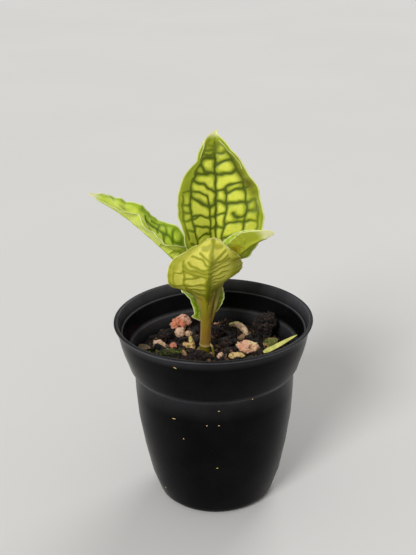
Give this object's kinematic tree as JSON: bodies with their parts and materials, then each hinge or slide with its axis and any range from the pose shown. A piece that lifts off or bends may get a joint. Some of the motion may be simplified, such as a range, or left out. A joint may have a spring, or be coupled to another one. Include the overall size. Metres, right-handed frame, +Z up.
{
  "type": "potted jewel orchid",
  "caption": "Young net-veined jewel orchid with folded green leaves on a short stem, in a thin black round nursery pot filled with chunky mix.",
  "frame": {"origin": "centre of the pot's flat underside, where it stands", "axes": "+Z up along the pot's axis; -Y is the front of the plant; +X is to the right seen from the front"},
  "size_m": [0.0982, 0.09, 0.1695],
  "materials": {
    "black_plastic": "semi-gloss moulded black plastic",
    "mix": "damp dark bark, soil and fibre",
    "stem": "smooth yellow-olive plant stem",
    "leaf_green": "satin bright green leaf with dark net veins",
    "leaf_deep_green": "satin deep green leaf",
    "leaf_olive": "satin yellow-olive leaf underside",
    "dry_leaf": "dry yellowed leaf",
    "pumice_pink": "rough pink-orange pumice",
    "pumice_tan": "rough tan pumice",
    "pumice_cream": "rough cream pumice",
    "bark": "dark weathered bark",
    "moss": "low green moss"
  },
  "bodies": {
    "root": {"pot": "black_plastic", "potting_mix": "mix", "stem": "stem", "leaf_back": "leaf_green", "leaf_left": "leaf_green", "leaf_front": "leaf_olive", "leaf_right": "leaf_green", "leaf_low": "leaf_deep_green", "root_piece": "pumice_tan", "dry_strip_right": "dry_leaf", "dry_strip_left": "dry_leaf", "pumice_large": "pumice_pink", "pumice_round": "pumice_tan", "pumice_bit": "pumice_pink", "pumice_forked": "pumice_cream", "pumice_left": "pumice_tan", "pumice_orange": "pumice_pink", "pumice_right": "pumice_tan", "pumice_pale": "pumice_cream", "pumice_small": "pumice_tan", "pumice_chip": "pumice_pink", "bark_left": "bark", "bark_middle": "bark", "bark_front": "bark", "bark_lump": "bark", "mossy_piece": "moss", "moss_patch": "moss"}
  },
  "joints": []
}
